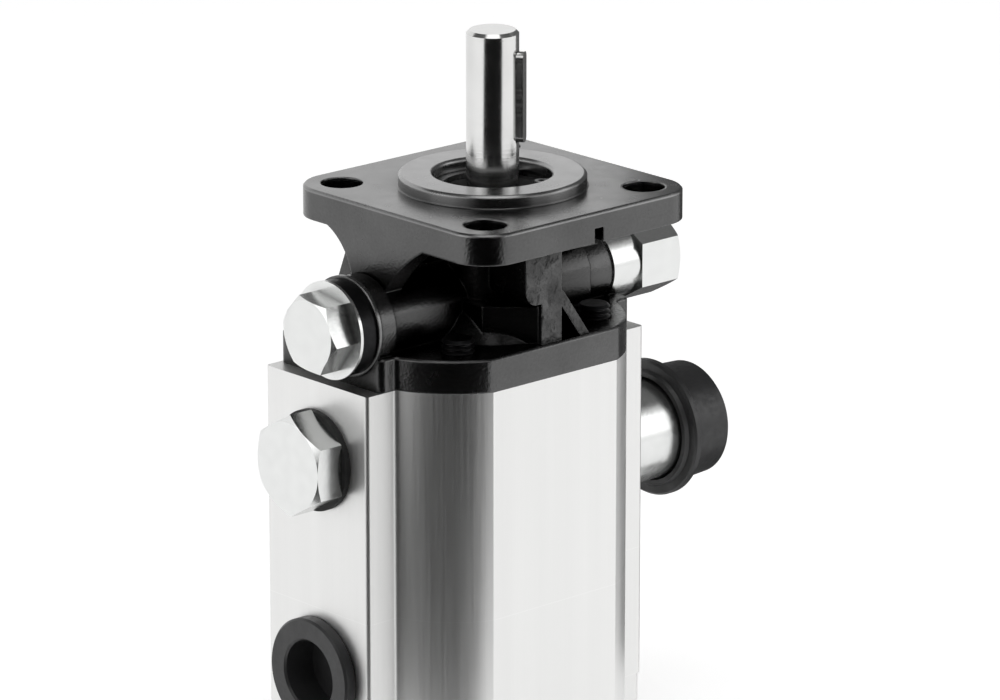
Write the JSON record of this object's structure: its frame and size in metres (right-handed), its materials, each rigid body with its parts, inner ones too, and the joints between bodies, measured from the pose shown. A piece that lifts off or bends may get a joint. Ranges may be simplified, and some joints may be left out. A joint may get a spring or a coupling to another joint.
{
  "type": "gear pump",
  "caption": "Two-stage gear pump: square flange, keyed shaft, windowed cast cover with two valve plugs, stacked aluminium housings, plugged port, suction tube and outlet, both capped.",
  "frame": {"origin": "centre of the flange's mounting face, on the shaft axis", "axes": "+Z out along the shaft; +X towards the suction tube; +Y from the drive gears to the driven gears"},
  "size_m": [0.1333, 0.0833, 0.1887],
  "materials": {
    "cast_iron": "dark cast iron, sandy skin with machined faces",
    "aluminium": "extruded and milled, satin",
    "block_aluminium": "milled",
    "bush_bronze": "bored bronze",
    "rubber": "moulded nitrile rubber",
    "spring_steel": "drawn wire and stamped strip",
    "ground_steel": "ground",
    "black_oxide_steel": "black oxide",
    "zinc_plated_steel": "bright zinc plate",
    "black_plastic": "moulded polyethylene"
  },
  "bodies": {
    "pump_body": {"check_plug": "zinc_plated_steel", "check_plug_collar": "ground_steel", "check_spring": "spring_steel", "dowel_pins": "ground_steel", "front_bush": "bush_bronze", "front_cover": "cast_iron", "front_joint_seal": "rubber", "gallery_seals": "rubber", "high_pressure_front_bearing_block": "block_aluminium", "high_pressure_front_drive_bush": "bush_bronze", "high_pressure_front_driven_bush": "bush_bronze", "high_pressure_housing": "aluminium", "high_pressure_rear_bearing_block": "block_aluminium", "high_pressure_rear_drive_bush": "bush_bronze", "high_pressure_rear_driven_bush": "bush_bronze", "low_pressure_front_bearing_block": "block_aluminium", "low_pressure_front_drive_bush": "bush_bronze", "low_pressure_front_driven_bush": "bush_bronze", "low_pressure_housing": "aluminium", "low_pressure_rear_bearing_block": "block_aluminium", "low_pressure_rear_drive_bush": "bush_bronze", "low_pressure_rear_driven_bush": "bush_bronze", "middle_joint_seal": "rubber", "port_plug": "zinc_plated_steel", "port_plug_washer": "zinc_plated_steel", "rear_cover": "aluminium", "rear_joint_seal": "rubber", "seal_retaining_ring": "spring_steel", "shaft_seal": "rubber", "suction_tube": "zinc_plated_steel", "suction_tube_seal": "rubber", "through_bolts": "black_oxide_steel", "unloader_cap": "zinc_plated_steel", "unloader_screw": "black_oxide_steel", "unloader_sleeve": "zinc_plated_steel", "unloader_spring": "spring_steel"},
    "drive_train": {"drive_shaft": "ground_steel", "shaft_key": "ground_steel", "gear_keys": "ground_steel", "low_pressure_drive_gear": "ground_steel", "high_pressure_drive_gear": "ground_steel"},
    "low_pressure_driven": {"low_pressure_driven_gear": "ground_steel"},
    "high_pressure_driven": {"high_pressure_driven_gear": "ground_steel"},
    "check_poppet": {"check_poppet": "ground_steel"},
    "unloader_spool": {"unloader_spool": "ground_steel"},
    "suction_cap": {"suction_cap": "black_plastic"},
    "outlet_cap": {"outlet_cap": "black_plastic"}
  },
  "joints": [
    {"name": "shaft_spin", "type": "hinge", "parent": "pump_body", "child": "drive_train", "pos_m": [0, 0, 0], "axis": [0, 0, 1], "continuous": true},
    {"name": "low_pressure_driven_spin", "type": "hinge", "parent": "pump_body", "child": "low_pressure_driven", "pos_m": [0, 0.026, 0], "axis": [0, 0, 1], "continuous": true},
    {"name": "high_pressure_driven_spin", "type": "hinge", "parent": "pump_body", "child": "high_pressure_driven", "pos_m": [0, 0.026, 0], "axis": [0, 0, 1], "continuous": true},
    {"name": "check_lift", "type": "slide", "parent": "pump_body", "child": "check_poppet", "axis": [-1, 0, 0], "range_m": [0, 0.0025], "stiffness_N_per_m": 800, "springref_m": -0.003, "deforming": ["check_spring"]},
    {"name": "unloader_shift", "type": "slide", "parent": "pump_body", "child": "unloader_spool", "axis": [1, 0, 0], "range_m": [0, 0.004], "stiffness_N_per_m": 1000, "springref_m": -0.004, "deforming": ["unloader_spring"]},
    {"name": "suction_cap_pull", "type": "slide", "parent": "pump_body", "child": "suction_cap", "axis": [1, 0, 0], "range_m": [0, 0.03]},
    {"name": "outlet_cap_pull", "type": "slide", "parent": "pump_body", "child": "outlet_cap", "axis": [-1, 0, 0], "range_m": [0, 0.02]}
  ],
  "couplings": [
    {"joint": "low_pressure_driven_spin", "follows": "shaft_spin", "ratio": -1},
    {"joint": "high_pressure_driven_spin", "follows": "shaft_spin", "ratio": -1}
  ]
}
